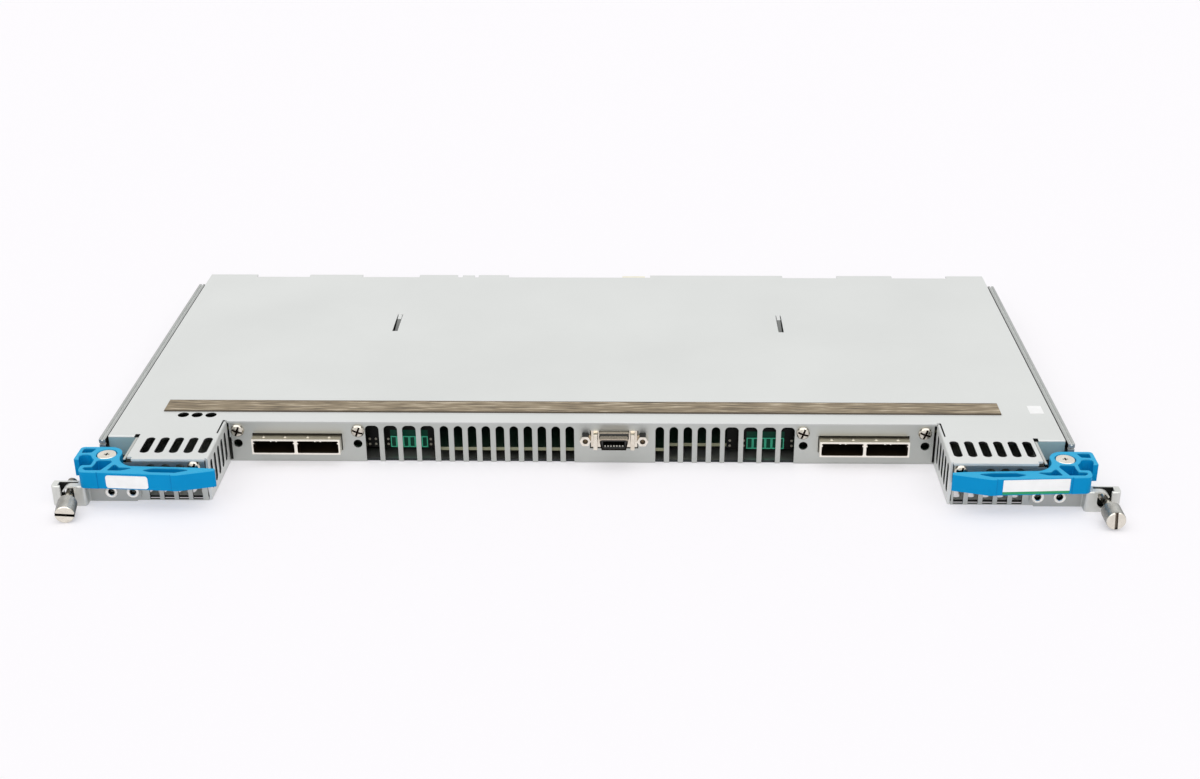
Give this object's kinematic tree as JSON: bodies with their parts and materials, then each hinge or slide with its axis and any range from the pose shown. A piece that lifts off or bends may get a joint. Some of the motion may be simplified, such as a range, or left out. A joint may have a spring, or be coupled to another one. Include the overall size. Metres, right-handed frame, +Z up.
{
  "type": "storage switch board",
  "caption": "Flat sheet-metal drawer board with recessed port panel, vent slots, blue ejector levers at the front corners, captive thumbscrews and rear board connectors.",
  "frame": {"origin": "bottom centre of the bounding box, on the underside of the tray", "axes": "+X along the long side to the right as seen from the port panel, +Y to the rear connectors, +Z up"},
  "size_m": [0.4464, 0.231, 0.0205],
  "materials": {
    "zinc_sheet": "satin zinc plating",
    "cover_sheet": "satin zinc plating",
    "rail_metal": "satin",
    "cast_metal": "as cast, satin",
    "blue_plastic": "satin moulded",
    "nickel": "nickel plated",
    "cage_nickel": "nickel plated",
    "gasket_cloth": "woven conductive cloth",
    "board_laminate": "solder mask",
    "black_plastic": "moulded",
    "pale_plastic": "moulded",
    "contact_metal": "plated",
    "sink_metal": "anodised",
    "lamp_plastic": "clear moulded",
    "label_paper": "printed film"
  },
  "bodies": {
    "housing": {"base_tray": "zinc_sheet", "top_cover": "cover_sheet", "left_rail": "rail_metal", "right_rail": "rail_metal", "left_bracket": "cast_metal", "right_bracket": "cast_metal", "bracket_eyelets": "nickel", "left_pivot_screw": "nickel", "right_pivot_screw": "nickel", "gasket_strip": "gasket_cloth", "panel_screws": "nickel", "shoulder_screws": "nickel", "circuit_board": "board_laminate", "left_port_cage": "cage_nickel", "right_port_cage": "cage_nickel", "left_port_sockets": "black_plastic", "right_port_sockets": "black_plastic", "ribbon_shell": "nickel", "ribbon_insulator": "black_plastic", "ribbon_contacts": "contact_metal", "ribbon_jackscrews": "nickel", "left_indicators": "lamp_plastic", "right_indicators": "lamp_plastic", "panel_lamps": "lamp_plastic", "left_switch_chip": "black_plastic", "right_switch_chip": "black_plastic", "left_heat_sink": "sink_metal", "right_heat_sink": "sink_metal", "memory_chips": "black_plastic", "power_modules": "black_plastic", "power_coils": "sink_metal", "capacitors": "sink_metal", "rear_connector_1": "black_plastic", "rear_connector_2": "black_plastic", "rear_connector_3": "black_plastic", "rear_connector_4": "black_plastic", "rear_connector_5": "black_plastic", "rear_guide_dark": "black_plastic", "rear_guide_pale": "pale_plastic", "board_standoffs": "nickel", "board_screws": "nickel", "cover_label": "label_paper"},
    "left_lever": {"left_lever": "blue_plastic", "left_lever_label": "label_paper"},
    "right_lever": {"right_lever": "blue_plastic", "right_lever_label": "label_paper"},
    "left_thumbscrew": {"left_thumbscrew": "nickel"},
    "right_thumbscrew": {"right_thumbscrew": "nickel"}
  },
  "joints": [
    {"name": "left_lever_pivot", "type": "hinge", "parent": "housing", "child": "left_lever", "pos_m": [-0.202, -0.0858, 0.0137], "axis": [0, 0, -1], "range_deg": [0, 24]},
    {"name": "right_lever_pivot", "type": "hinge", "parent": "housing", "child": "right_lever", "pos_m": [0.202, -0.0858, 0.0137], "axis": [0, 0, 1], "range_deg": [0, 24]},
    {"name": "left_thumbscrew_spin", "type": "hinge", "parent": "housing", "child": "left_thumbscrew", "pos_m": [-0.2162, -0.0947, 0.0057], "axis": [0.1645, -0.9832, -0.0785], "continuous": true},
    {"name": "right_thumbscrew_spin", "type": "hinge", "parent": "housing", "child": "right_thumbscrew", "pos_m": [0.2172, -0.0947, 0.0047], "axis": [0, -1, 0], "continuous": true}
  ]
}
